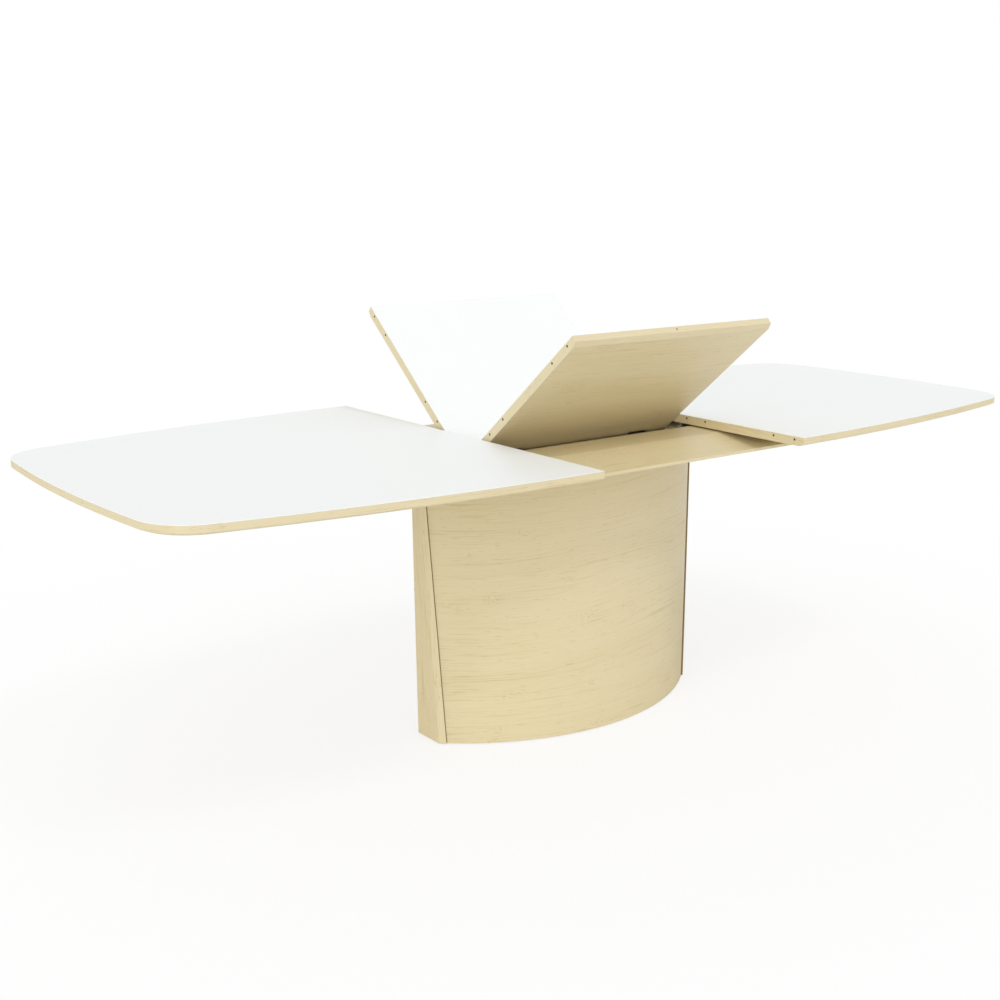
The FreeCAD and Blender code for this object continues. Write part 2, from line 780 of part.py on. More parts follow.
def make_pedestal():
    inner_radius = shell_radius - shell_thickness
    fit_radius = inner_radius - fit_clearance
    far = panel_radius
    body = lens("column_form", shell_radius, foot_gap, shell_height)
    hollow = lens("column_hollow", inner_radius, ZERO, deck_top)
    ring = join("Cut", "column_ring", [body, hollow])
    reveal = seam_width / 2
    for side, name in ((-1, "front"), (1, "back")):
        trim = taper(f"{name}_shell_trim", seam_half_length - reveal, seam_lean)
        y0, y1 = (-far, ZERO) if side < 0 else (ZERO, far)
        half = block(f"{name}_half", -far, far, y0, y1, ZERO, deck_top)
        node(join("Common", f"{name}_shell", [ring, trim, half]), f"{name}_shell")

    for side, name in ((-1, "left"), (1, "right")):
        form = lens(f"{name}_end_form", panel_radius, foot_gap, shell_height)
        outer = taper(f"{name}_end_outer", end_half_length, end_lean)
        inner = taper(f"{name}_end_inner", end_half_length - end_thickness, end_lean)
        x0, x1 = (-far, ZERO) if side < 0 else (ZERO, far)
        half = block(f"{name}_side", x0, x1, -far, far, ZERO, deck_top)
        board = join("Common", f"{name}_end_board", [form, outer, half])
        board = join("Cut", f"{name}_end_slab", [board, inner])
        # rebate that lets the shells reach over the edges of the end board
        skin = lens(f"{name}_rebate_form", panel_radius + fit_clearance, ZERO, deck_top)
        core = lens(f"{name}_rebate_core", fit_radius, ZERO, deck_top)
        rebate = join("Cut", f"{name}_rebate_ring", [skin, core])
        behind = taper(f"{name}_rebate_trim", seam_half_length + reveal, seam_lean)
        rebate = join("Common", f"{name}_rebate", [rebate, behind])
        node(join("Cut", f"{name}_end_panel", [board, rebate]), f"{name}_end_panel")

    plate_form = lens("floor_plate_form", fit_radius, glide_height, plate_board)
    plate_end = end_half_length - end_thickness - fit_clearance
    plate_box = block("floor_plate_ends", -plate_end, plate_end, -far, far, ZERO, plate_top)
    node(join("Common", "floor_plate", [plate_form, plate_box]), "floor_plate")

    low = deck_underside - cleat_height
    for side, name in ((-1, "front"), (1, "back")):
        form = lens(f"{name}_cleat_form", fit_radius, low, cleat_height)
        core = lens(f"{name}_cleat_core", fit_radius - cleat_width, ZERO, deck_top)
        strip = join("Cut", f"{name}_cleat_ring", [form, core])
        # the cleats stop short of the post flanges on the middle line
        flank = flange_radius + fit_clearance
        y0, y1 = (-far, -flank) if side < 0 else (flank, far)
        half = block(f"{name}_cleat_half", -cleat_half_length, cleat_half_length, y0, y1,
                     ZERO, deck_top)
        cleat = join("Common", f"{name}_cleat_blank", [strip, half])
        drills = []
        for kind, places, foot in (("deck", cleat_screw_places(), low + cleat_height / 3),
                                   ("rail", rail_screw_places(), low - cleat_height / 3)):
            for i, (x, y) in enumerate(places):
                if y.value * side < 0:
                    continue
                drill = doc.addObject("Part::Cylinder", f"{name}_cleat_{kind}_drill_{i}")
                bind(drill, "Radius", screw_radius + screw_clearance)
                bind(drill, "Height", cleat_height * 2)
                bind(drill, "Placement.Base.x", x)
                bind(drill, "Placement.Base.y", y)
                bind(drill, "Placement.Base.z", foot)
                drills.append(drill)
        drilled = join("Cut", f"{name}_cleat", [cleat, join("Fuse", f"{name}_drills", drills)])
        node(drilled, f"{name}_cleat")

    glides = new_body("floor_glides")
    pads = sketch_on(glides, "floor_glide_circles", "XY_Plane")
    for x_side, y_side, _ in quarter_places():
        circle(pads, glide_x * x_side, glide_y * y_side, glide_radius)
    for side in (-1, 1):
        circle(pads, glide_end * side, ZERO, glide_radius)
    pad(glides, pads, glide_height)
    node(glides)


# ---------------------------------------------------------------- posts and riser

def make_posts():
    for side, name in ((-1, "left"), (1, "right")):
        post = doc.addObject("Part::Cylinder", f"{name}_post")
        bind(post, "Radius", post_radius)
        bind(post, "Height", deck_underside - plate_top)
        bind(post, "Placement.Base.x", post_place * side)
        bind(post, "Placement.Base.z", plate_top)
        node(post, f"{name}_post")
    flanges = new_body("post_flanges")
    low = sketch_on(flanges, "low_flange_rings", "XY_Plane", plate_top)
    high = sketch_on(flanges, "high_flange_rings", "XY_Plane", deck_underside)
    buffers = new_body("post_buffers")
    rings = sketch_on(buffers, "buffer_rings", "XY_Plane", plate_top + flange_thickness)
    for side in (-1, 1):
        for sketch, radius in ((low, flange_radius), (high, flange_radius),
                               (rings, buffer_radius)):
            circle(sketch, post_place * side, ZERO, radius)
            circle(sketch, post_place * side, ZERO, post_radius + bush_clearance)
    pad(flanges, low, flange_thickness)
    pad(flanges, high, flange_thickness, reverse=True)
    node(flanges)
    pad(buffers, rings, buffer_height)
    node(buffers)


def lift(body):
    """The riser's pieces are drawn about the height of the hinge pins."""
    bind(body, "Placement.Base.z", pin_height)


def make_riser():
    beam = new_body("riser_beam")
    section = sketch_on(beam, "riser_beam_section", "YZ_Plane")
    half = bush_half_depth
    rectangle(section, -half, half, -(beam_top + beam_height), -beam_top)
    rectangle(section, -half + beam_wall, half - beam_wall,
              -(beam_top + beam_height) + beam_wall, -beam_top - beam_wall)
    pad(beam, section, (post_place - bush_half) * 2, both_ways=True)
    lift(node(beam))

    for side, name in ((-1, "left"), (1, "right")):
        bush = new_body(f"{name}_riser_bush")
        outline = sketch_on(bush, f"{name}_bush_outline", "XY_Plane", -(bush_top + bush_height))
        x = post_place * side
        rectangle(outline, x - bush_half, x + bush_half, -bush_half_depth, bush_half_depth)
        circle(outline, x, ZERO, post_radius + bush_clearance)
        pad(bush, outline, bush_height)
        lift(node(bush))

        head = new_body(f"{name}_hinge_head")
        profile = sketch_on(head, f"{name}_head_profile", "YZ_Plane", head_place * side)
        wide = pin_offset + head_wall
        crown = pin_depth - 1.4
        shoulder = Size.of(-14)
        points = [(head_neck, -beam_top), (head_neck, shoulder * 2.4), (wide, shoulder),
                  (wide, crown - 1), (wide - 1, crown)]
        mirrored = [(-x_, y_) for x_, y_ in reversed(points)]
        polygon(profile, points + mirrored)
        circle(profile, pin_offset, ZERO, pin_radius + pin_clearance)
        circle(profile, -pin_offset, ZERO, pin_radius + pin_clearance)
        pad(head, profile, head_width, both_ways=True)
        lift(node(head))

    pins = new_body("hinge_pins")
    reach = head_width / 2 + side_clearance + knuckle_width
    for side, name in ((-1, "left"), (1, "right")):
        ends = sketch_on(pins, f"{name}_pin_ends", "YZ_Plane", head_place * side)
        for y_side in (-1, 1):
            circle(ends, pin_offset * y_side, ZERO, pin_radius)
        pad(pins, ends, reach * 2, both_ways=True)
    lift(node(pins))


# ---------------------------------------------------------------- leaf halves

def fold(body, side):
    """Pieces of a half are drawn flat about its pin, then turned up and set on the pin."""
    angle = fold_angle * side
    body.Placement = FreeCAD.Placement(
        V(0, pin_offset.value * side, pin_height.value),
        FreeCAD.Rotation(V(1, 0, 0), angle.value))
    bind(body, "Placement.Base.y", pin_offset * side)
    bind(body, "Placement.Base.z", pin_height)
    bind(body, "Placement.Rotation.Angle", angle)


def plate_screw_places(side):
    places = []
    for x_side in (-1, 1):
        for dx in (-1, 1):
            for share in (0.35, 0.75):
                x = head_place * x_side + (plate_length / 2 - 8) * dx
                y = plate_start + (plate_depth - plate_start) * share
                places.append((x, y * side))
    return places


def make_half(side, name):
    core_top = pin_depth - laminate_thickness
    core_low = core_top - core_thickness
    inner = (pin_offset - fold_gap) * -side
    outer = (half_width - pin_offset) * side
    bevel_y = outer - bevel_width * side
    edge_low = pin_depth - edge_height
    board = new_body(f"{name}_leaf_board")
    section = sketch_on(board, f"{name}_leaf_section", "YZ_Plane")
    polygon(section, [(inner, core_low), (bevel_y, core_low), (outer, edge_low),
                      (outer, core_top), (inner, core_top)])
    pad(board, section, leaf_length, both_ways=True)

    skin = new_body(f"{name}_leaf_laminate")
    sheet_section = sketch_on(skin, f"{name}_laminate_section", "YZ_Plane")
    polygon(sheet_section, [(inner, core_top), (outer, core_top), (outer, pin_depth),
                            (inner, pin_depth)])
    pad(skin, sheet_section, leaf_length, both_ways=True)
    for body, tag in ((board, "board"), (skin, "laminate")):
        notch = sketch_on(body, f"{name}_{tag}_notch", "XY_Plane", pin_depth)
        for x_side in (-1, 1):
            x = head_place * x_side
            rectangle(notch, x - notch_half, x + notch_half, inner * 1.2, notch_reach * side)
        pocket(body, notch)

    mortise = sketch_on(board, f"{name}_mortise", "XY_Plane", core_low)
    for x_side in (-1, 1):
        x = head_place * x_side
        reach = plate_length / 2 + plate_clearance
        rectangle(mortise, x - reach, x + reach, ZERO, (plate_depth + plate_clearance) * side)
    pocket(board, mortise, plate_thickness, reverse=True)
    pilots = sketch_on(board, f"{name}_hinge_pilots", "XY_Plane", core_low + plate_thickness)
    for x, y in plate_screw_places(side):
        circle(pilots, x, y, screw_radius + screw_clearance)
    pocket(board, pilots, screw_length - plate_thickness, reverse=True)

    line = pin_depth - dowel_drop
    places = [(place - pin_offset) * side for place in dowel_places]
    left_end = sketch_on(board, f"{name}_left_holes", "YZ_Plane", -(leaf_length / 2))
    dowel_circles(left_end, dowel_radius + dowel_clearance, places, False, line)
    pocket(board, left_end, dowel_hole_depth, reverse=True)
    right_end = sketch_on(board, f"{name}_right_holes", "YZ_Plane", leaf_length / 2)
    dowel_circles(right_end, dowel_radius + dowel_seat, places, False, line)
    pocket(board, right_end, dowel_hole_depth)
    edge_hole = sketch_on(board, f"{name}_edge_hole", "XZ_Plane", -outer)
    circle(edge_hole, ZERO, line, edge_hole_radius)
    pocket(board, edge_hole, edge_hole_depth, reverse=side > 0)
    fold(node(board), side)
    fold(node(skin), side)

    dowels = new_body(f"{name}_leaf_dowels")
    ends = sketch_on(dowels, f"{name}_leaf_dowel_circles", "YZ_Plane",
                     leaf_length / 2 - dowel_hole_depth + dowel_seat)
    dowel_circles(ends, dowel_radius, places, False, line)
    pad(dowels, ends, dowel_hole_depth - dowel_seat + dowel_reach)
    fold(node(dowels), side)

    make_hinge_plates(side, name, core_low)


def make_hinge_plates(side, name, core_low):
    """Plates let into the underside, each with two knuckles beside its hinge head."""
    plates = new_body(f"{name}_hinge_plates")
    flat = sketch_on(plates, f"{name}_plate_outline", "XY_Plane", core_low)
    inside = head_width / 2 + side_clearance
    outside = inside + knuckle_width
    for x_side in (-1, 1):
        x = head_place * x_side
        rectangle(flat, x - plate_length / 2, x + plate_length / 2,
                  plate_start * side, plate_depth * side)
    pad(plates, flat, plate_thickness)
    for x_side in (-1, 1):
        x = head_place * x_side
        tag = "left" if x_side < 0 else "right"
        profile = sketch_on(plates, f"{name}_{tag}_knuckle", "YZ_Plane", x)
        r = knuckle_radius
        ring = Part.Circle(V(0, 0, 0), V(0, 0, 1), r.value)
        arc = profile.addGeometry(Part.ArcOfCircle(ring, 0, math.pi), False)
        root_y = plate_start * side
        corners = [(r * -side, ZERO), (r * -side, core_low),
                   (root_y, core_low), (root_y, core_low + plate_thickness),
                   (r * side, core_low + plate_thickness), (r * side, ZERO)]
        first = profile.GeometryCount
        for (x0, y0), (x1, y1) in zip(corners, corners[1:]):
            profile.addGeometry(Part.LineSegment(
                V(x0.value, y0.value, 0), V(x1.value, y1.value, 0)), False)
        last = profile.GeometryCount - 1
        for i in range(first, last):
            profile.addConstraint(Sketcher.Constraint("Coincident", i, 2, i + 1, 1))
        for i, (px, py) in enumerate(corners[:-1]):
            place_point(profile, first + i, 1, px, py)
        place_point(profile, last, 2, *corners[-1])
        start_end, stop_end = (1, 2) if side < 0 else (2, 1)
        profile.addConstraint(Sketcher.Constraint("Coincident", arc, start_end, first, 1))
        profile.addConstraint(Sketcher.Constraint("Coincident", arc, stop_end, last, 2))
        profile.addConstraint(Sketcher.Constraint("PointOnObject", arc, 3, -1))
        circle(profile, ZERO, ZERO, pin_radius + pin_clearance)
        pad(plates, profile, outside * 2, both_ways=True)
    between = sketch_on(plates, f"{name}_head_space", "XY_Plane", core_low)
    for x_side in (-1, 1):
        x = head_place * x_side
        rectangle(between, x - inside, x + inside, plate_start * -side, plate_start * side)
    pocket(plates, between, reverse=True)
    holes = sketch_on(plates, f"{name}_plate_holes", "XY_Plane", core_low)
    sinks = sketch_on(plates, f"{name}_plate_sinks", "XY_Plane", core_low)
    for x, y in plate_screw_places(side):
        circle(holes, x, y, screw_radius + screw_clearance)
        circle(sinks, x, y, screw_head_radius + screw_clearance)
    pocket(plates, holes, plate_thickness, reverse=True)
    pocket(plates, sinks, screw_head_height, reverse=True)
    fold(node(plates), side)

    screws = new_body(f"{name}_hinge_screws")
    heads = sketch_on(screws, f"{name}_hinge_screw_heads", "XY_Plane", core_low)
    shanks = sketch_on(screws, f"{name}_hinge_screw_shanks", "XY_Plane", core_low)
    for x, y in plate_screw_places(side):
        circle(heads, x, y, screw_head_radius)
        circle(shanks, x, y, screw_radius)
    pad(screws, heads, screw_head_height)
    pad(screws, shanks, screw_length - screw_clearance)
    fold(node(screws), side)


# ---------------------------------------------------------------- build and write

make_pedestal()
make_deck()
make_deck_rails()
make_guides()
make_base_screws()
make_strips()
make_posts()
make_riser()
make_top("left")
make_top("right")
make_half(-1, "front")
make_half(1, "back")
doc.recompute()

for obj in doc.Objects:
    if "Invalid" in obj.State or "Error" in obj.State:
        raise RuntimeError(f"{obj.Name} failed: {obj.State}")
for obj in nodes:
    if obj.Shape.isNull() or not obj.Shape.isValid() or not obj.Shape.Solids:
        raise RuntimeError(f"{obj.Label} has no valid shape")
for obj in nodes:
    obj.Shape.exportStep(f"parts/{obj.Label}.step")
    box = obj.Shape.BoundBox
    print(f"{obj.Label:24s} solids {len(obj.Shape.Solids):2d} volume {obj.Shape.Volume:13.1f} "
          f"x {box.XMin:8.1f} {box.XMax:8.1f} y {box.YMin:7.1f} {box.YMax:7.1f} "
          f"z {box.ZMin:6.1f} {box.ZMax:6.1f}")
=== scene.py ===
import json
import math

import bpy
from mathutils import Matrix, Quaternion, Vector


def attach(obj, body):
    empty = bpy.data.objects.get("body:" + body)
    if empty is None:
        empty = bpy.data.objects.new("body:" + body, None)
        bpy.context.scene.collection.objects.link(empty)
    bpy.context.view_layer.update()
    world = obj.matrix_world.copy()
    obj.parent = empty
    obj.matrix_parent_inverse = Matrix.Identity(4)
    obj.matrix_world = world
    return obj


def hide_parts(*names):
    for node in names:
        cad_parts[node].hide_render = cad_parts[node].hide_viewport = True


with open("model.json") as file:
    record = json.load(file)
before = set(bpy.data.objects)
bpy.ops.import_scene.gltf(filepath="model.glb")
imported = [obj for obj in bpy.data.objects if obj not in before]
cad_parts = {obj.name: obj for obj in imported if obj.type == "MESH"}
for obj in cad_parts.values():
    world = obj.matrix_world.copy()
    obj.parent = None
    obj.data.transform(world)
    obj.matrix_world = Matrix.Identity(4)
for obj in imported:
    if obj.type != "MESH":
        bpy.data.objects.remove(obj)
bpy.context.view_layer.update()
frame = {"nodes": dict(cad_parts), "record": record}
scene = bpy.context.scene
scene.view_settings.view_transform = "Standard"


# ---------------------------------------------------------------- shader maths

class Value:
    """An output socket of one material that takes Python's arithmetic."""

    def __init__(self, finish, socket):
        self.finish = finish
        self.socket = socket

    def math(self, operation, *others):
        return self.finish.node("ShaderNodeMath", {"operation": operation}, self, *others)

    def __add__(self, other):
        return self.math("ADD", other)

    def __sub__(self, other):
        return self.math("SUBTRACT", other)

    def __mul__(self, other):
        return self.math("MULTIPLY", other)

    def __rsub__(self, other):
        return self.finish.node("ShaderNodeMath", {"operation": "SUBTRACT"}, other, self)

    __radd__ = __add__
    __rmul__ = __mul__

    def size(self):
        return self.math("ABSOLUTE")

    def root(self):
        return self.math("SQRT")

    def smooth(self, low, high):
        """0 below low, 1 above high, and a soft step between."""
        settings = {"interpolation_type": "SMOOTHSTEP"}
        return self.finish.node("ShaderNodeMapRange", settings, self, low, high)


class Finish:
    """One material, made node by node."""

    def __init__(self, name, colour, roughness):
        self.material = bpy.data.materials.new(name)
        self.material.use_nodes = True
        self.tree = self.material.node_tree
        self.surface = self.tree.nodes["Principled BSDF"]
        self.set("Base Color", (*colour, 1))
        self.set("Roughness", roughness)

    def node(self, kind, settings, *values, **named):
        """Add a node, give it its settings, then its values or links, and return its output."""
        made = self.tree.nodes.new(kind)
        for name, value in settings.items():
            if name == "stops":
                self.stops(made.color_ramp, value)
            else:
                setattr(made, name, value)
        for socket, value in [*enumerate(values), *named.items()]:
            self.put(made.inputs[socket], value)
        return Value(self, made.outputs[0])

    def put(self, socket, value):
        if isinstance(value, Value):
            self.tree.links.new(value.socket, socket)
        else:
            socket.default_value = value

    def set(self, socket, value):
        self.put(self.surface.inputs[socket], value)

    @staticmethod
    def stops(ramp, stops):
        while len(ramp.elements) < len(stops):
            ramp.elements.new(1)
        for element, (place, colour) in zip(ramp.elements, stops):
            element.position = place
            element.color = (*colour, 1)

    def ramp(self, value, *stops):
        return self.node("ShaderNodeValToRGB", {"stops": stops}, value)

    def mix(self, factor, first, second):
        """Mix two colours, each a Value or three numbers."""
        made = self.tree.nodes.new("ShaderNodeMix")
        made.data_type = "RGBA"
        self.put(made.inputs["Factor"], factor)
        for socket, value in zip((6, 7), (first, second)):      # the colour sockets A and B
            self.put(made.inputs[socket], value if isinstance(value, Value) else (*value, 1))
        return Value(self, made.outputs[2])

    def split(self, place):
        """The X, Y and Z of a vector."""
        parts = self.node("ShaderNodeSeparateXYZ", {}, place)
        return [Value(self, output) for output in parts.socket.node.outputs]

    def uv_place(self, layer):
        """The two coordinates of one of the piece's own UV maps."""
        return self.split(self.node("ShaderNodeUVMap", {"uv_map": layer}))[:2]

    def object_place(self):
        coords = self.tree.nodes.new("ShaderNodeTexCoord")
        return self.split(Value(self, coords.outputs["Object"]))

    def vector(self, x, y, z=0.0):
        return self.node("ShaderNodeCombineXYZ", {}, x, y, z)

    def noise(self, vector, scale=1.0, detail=2.0, roughness=0.5):
        return self.node("ShaderNodeTexNoise", {}, Vector=vector, Scale=scale, Detail=detail,
                         Roughness=roughness)

    def bump(self, height, strength, distance):
        bump = self.node("ShaderNodeBump", {}, Strength=strength, Distance=distance, Height=height)
        self.set("Normal", bump)


# ---------------------------------------------------------------- finishes

GRAIN = "grain"        # UV map: metres along and across the grain
DRILLED = "drilled"    # UV map: 1 inside a dowel hole

# pale, middle and dark wood
OAK = ((0.770, 0.680, 0.460), (0.695, 0.592, 0.355), (0.520, 0.405, 0.195))
BEECH = ((0.760, 0.640, 0.430), (0.690, 0.560, 0.350), (0.560, 0.430, 0.250))

PORE_BROWN = (0.36, 0.26, 0.10)
# the bare core's brown, darkened as painted shade inside the dowel holes
CORE_AND_HOLE_SHADE = (0.230, 0.150, 0.075)
SEAM_STAIN = (0.540, 0.430, 0.220)

SWAY = 0.11            # metres that a growth line wanders over the length of a board
RIPPLE = 0.008         # metres that it shivers within a hand's width
BOLD_WIDTH = 0.020     # how far from the noise's middle a growth line reaches
FINE_WIDTH = 0.050

SEAM_FROM_MIDDLE = 0.3900      # metres at the floor
SEAM_LEAN = math.radians(3.05)
SEAM_HALF_WIDTH = 0.0017
SEAM_FEATHER = 0.0004


def veneer(name, shades, figure=1.0, seam=False, drilled=False):
    """Lacquered pale wood: thin swaying growth lines, fine fibres, short pores and cat's paws."""
    pale, middle, dark = shades
    f = Finish(name, middle, 0.45)
    along, across = f.uv_place(GRAIN)

    def grown(lengthwise, crosswise, place, layer=0.0, detail=2.0, roughness=0.5):
        """Noise with so many cells a metre along the grain and across it."""
        stretched = f.vector(along * lengthwise, place * crosswise, layer)
        return f.noise(stretched, detail=detail, roughness=roughness)

    sway = grown(1.3, 2.4, across, detail=1.0)
    ripple = grown(6.0, 18.0, across)
    line = across + (sway - 0.5) * SWAY * figure + (ripple - 0.5) * RIPPLE * figure

    # growth lines lie where slow noise crosses its middle, and fade in and out along the grain
    year = grown(0.55, 62.0, line, detail=1.5)
    fine_year = grown(1.1, 150.0, line, layer=4.0, detail=1.5)
    fade = grown(3.5, 24.0, line, layer=7.0).smooth(0.42, 0.66)
    dash = grown(13.0, 210.0, line, layer=5.0, detail=1.0).smooth(0.40, 0.60)
    bold_lines = (1 - (year - 0.5).size().smooth(0.0, BOLD_WIDTH)) * (fade * 0.85 + 0.10)
    fine_lines = (1 - (fine_year - 0.5).size().smooth(0.0, FINE_WIDTH)) * (1.2 - fade * 0.7) * dash

    # soft bands and fibres
    band = grown(0.9, 13.0, line, layer=2.0, detail=3.0)
    cloud = grown(1.7, 3.6, across, layer=9.0)
    fibre = grown(16.0, 820.0, line, roughness=0.6)

    # pores, and cat's paws, which lie aslant in a few places only
    pores = grown(32.0, 400.0, line, detail=1.0).smooth(0.675, 0.735)
    paw_place = grown(7.0, 17.0, across, layer=3.0, detail=1.0).smooth(0.63, 0.71)
    aslant = f.vector(along * 110.0, across * 330.0 + along * 90.0)
    paws = f.noise(aslant, detail=1.0).smooth(0.54, 0.64) * paw_place

    shade = (0.27 + bold_lines * 0.40 + fine_lines * 0.26 + (fibre - 0.5) * 0.40
             + (band - 0.5) * 0.36 + (cloud - 0.5) * 0.22)
    tone = f.ramp(shade, (0.0, pale), (0.45, middle), (1.0, dark))
    marks = pores * 0.36 + paws * 0.24
    tone = f.mix(marks, tone, PORE_BROWN)
    roughness = 0.40 + fibre * 0.10 + marks * 0.18
    # inside a dowel hole: the bare core's brown with painted shade of the hole over it
    if drilled:
        inside = f.uv_place(DRILLED)[0]
        tone = f.mix(inside, tone, CORE_AND_HOLE_SHADE)
    if seam:
        # the stained groove between a shell and an end board
        x, y, z = f.object_place()
        off_seam = (x.size() - z * math.tan(SEAM_LEAN) - SEAM_FROM_MIDDLE).size()
        wood = off_seam.smooth(SEAM_HALF_WIDTH, SEAM_HALF_WIDTH + SEAM_FEATHER)
        tone = f.mix(wood, SEAM_STAIN, tone)
        roughness = roughness + (1 - wood) * 0.15
    f.set("Base Color", tone)
    f.set("Roughness", roughness)
    f.bump(fibre * 0.6 - pores * 0.3 - bold_lines * 0.25, strength=0.22, distance=0.0003)
    f.set("Coat Weight", 0.10)
    f.set("Coat Roughness", 0.30)
    return f.material


def laminate(name, colour, pale):
    """White matt laminate with a faint orange peel and a little uneven sheen."""
    f = Finish(name, colour, 0.42)
    place = f.vector(*f.object_place())
    peel = f.noise(place, scale=900.0)
    cloud = f.noise(place, scale=3.0, detail=3.0)
    f.set("Roughness", 0.38 + peel * 0.05 + cloud * 0.07)
    f.set("Base Color", f.mix(cloud, colour, pale))
    f.bump(peel, strength=0.06, distance=0.0002)
    return f.material


def metal(name, colour, roughness, lengthwise, crosswise):
    """Drawn or milled metal, brushed along X with so many scratches a metre each way."""
    f = Finish(name, colour, roughness)
    x, y, z = f.object_place()
    scratches = f.vector(x * lengthwise, y * crosswise, z * crosswise)
    brush = f.noise(scratches, detail=3.0, roughness=0.6)
    cloud = f.noise(f.vector(x, y, z), scale=22.0)
    f.set("Metallic", 1.0)
    f.set("Roughness", roughness - 0.08 + brush * 0.12 + cloud * 0.08)
    f.set("Base Color", f.mix(brush * 0.35, colour, darker(colour, 0.8)))
    f.bump(brush, strength=0.12, distance=0.0002)
    return f.material


def moulded(name, colour, roughness, grain):
    """Moulded plastic or rubber with a fine spark-eroded grain."""
    f = Finish(name, colour, roughness)
    place = f.vector(*f.object_place())
    grit = f.noise(place, scale=grain, detail=3.0)
    cloud = f.noise(place, scale=30.0)
    f.set("Roughness", roughness - 0.06 + grit * 0.12)
    f.set("Base Color", f.mix(cloud * 0.3, colour, darker(colour, 0.85)))
    f.bump(grit, strength=0.2, distance=0.0002)
    return f.material


def darker(colour, share):
    return tuple(share * part for part in colour)


finishes = {
    "oak_veneer": veneer("oak_veneer", OAK),
    "column_veneer": veneer("column_veneer", OAK, seam=True),
    "drilled_veneer": veneer("drilled_veneer", OAK, drilled=True),
    "plain_wood": veneer("plain_wood", BEECH, figure=0.4),
    "white_laminate": laminate("white_laminate", (0.895, 0.918, 0.910), (0.915, 0.932, 0.920)),
    "aluminium": metal("aluminium", (0.74, 0.75, 0.76), 0.34, lengthwise=6.0, crosswise=900.0),
    "steel": metal("steel", (0.58, 0.59, 0.60), 0.32, lengthwise=400.0, crosswise=400.0),
    "nylon": moulded("nylon", (0.80, 0.79, 0.74), 0.42, grain=1500.0),
    "rubber": moulded("rubber", (0.085, 0.066, 0.048), 0.62, grain=1100.0),
}


# ---------------------------------------------------------------- tools for the pieces

X, Z = 0, 2
LEVEL = Matrix.Identity(3)
FOLD = math.radians(40)        # a leaf half's angle at rest

SAME_POINT = 0.000002
FLAT = math.radians(0.4)       # bends below this are one face
CREASE = math.radians(6)
LARGE_FACE = 0.004             # square metres
EDGE = math.radians(28)        # bends above this are eased
ROUND = math.radians(50)       # bends below this are shaded smooth

body_of = {}
for body, members in frame["record"]["behaviour"]["bodies"].items():
    for member in members:
        body_of[member] = body
slot_of = {part["node"]: part["material_slot"] for part in frame["record"]["subparts"]}


def alone(piece):
    """Select one piece and nothing else."""
    bpy.ops.object.select_all(action="DESELECT")
    piece.select_set(True)
    bpy.context.view_layer.objects.active = piece


def finish_modifier(piece, name, kind, **settings):
    """Add a modifier with its settings and apply it."""
    modifier = piece.modifiers.new(name, kind)
    for setting, value in settings.items():
        setattr(modifier, setting, value)
    bpy.ops.object.modifier_apply(modifier=modifier.name)


def mark_creases(mesh):
    """Mark the shallow bends beside large flat faces sharp."""
    sides = {}
    for polygon in mesh.polygons:
        for key in polygon.edge_keys:
            sides.setdefault(key, []).append(polygon)
    for edge in mesh.edges:
        pair = sides.get(edge.key, ())
        if len(pair) == 2 and max(side.area for side in pair) > LARGE_FACE:
            bend = pair[0].normal.angle(pair[1].normal)
            edge.use_edge_sharp = bend > CREASE


def cross_recesses(piece, head_area=0.000025, length=0.0040, width=0.0009, depth=0.0011):
    """Cut a driver's cross into every screw head, the only wide flats on a screw."""
    heads = [(face.center.copy(), face.normal.copy()) for face in piece.data.polygons
             if face.area > head_area]
    bars = []
    bpy.ops.object.select_all(action="DESELECT")
    for middle, outwards in heads:
        facing = outwards.to_track_quat("Z", "Y")
        for quarter in (0, 1):
            turned = facing @ Quaternion((0, 0, 1), math.radians(90 * quarter))
            bpy.ops.mesh.primitive_cube_add(size=1, location=middle, rotation=turned.to_euler(),
                                            scale=(length, width, 2 * depth))
            bars.append(bpy.context.object)
    for bar in bars:
        bar.select_set(True)
    bpy.ops.object.join()
    driver = bpy.context.object
    alone(piece)
    finish_modifier(piece, "cut", "BOOLEAN", operation="DIFFERENCE", solver="EXACT",
                    use_self=True, object=driver)
    bpy.data.objects.remove(driver)


def softened(node, width, shape=None):
    """A copy of a CAD node with its flat faces whole, its edges eased and its shape cut."""
    mesh = frame["nodes"][node].data.copy()
    piece = bpy.data.objects.new(node + "_finished", mesh)
    scene.collection.objects.link(piece)
    mesh.materials.clear()
    alone(piece)
    bpy.ops.object.mode_set(mode="EDIT")
    bpy.ops.mesh.select_all(action="SELECT")
    bpy.ops.mesh.customdata_custom_splitnormals_clear()
    bpy.ops.mesh.remove_doubles(threshold=SAME_POINT)
    bpy.ops.mesh.dissolve_limited(angle_limit=FLAT)
    bpy.ops.object.mode_set(mode="OBJECT")
    mark_creases(mesh)
    finish_modifier(piece, "ease", "BEVEL", width=width, segments=2, limit_method="ANGLE",
                    angle_limit=EDGE, miter_outer="MITER_ARC")
    if shape:
        shape(piece)
    bpy.ops.object.shade_smooth_by_angle(angle=ROUND, keep_sharp_edges=True)
    finish_modifier(piece, "flat", "WEIGHTED_NORMAL", keep_sharp=True)
    return piece


def mark_drilled(piece, axes, near, far, reach=0.0043):
    """Flag the faces in holes drilled along X, between two distances from the middle."""
    mesh = piece.data
    layer = mesh.uv_layers.new(name=DRILLED)
    for polygon in mesh.polygons:
        x, y, z = polygon.center
        inside = near < abs(x) < far and any(math.hypot(y - across, z - height) < reach
                                             for across, height in axes)
        for loop in polygon.loop_indices:
            layer.data[loop].uv = (float(inside), 0.0)


def beside(log):
    """Where a board that starts so far along the log lies across it."""
    return log * 0.37


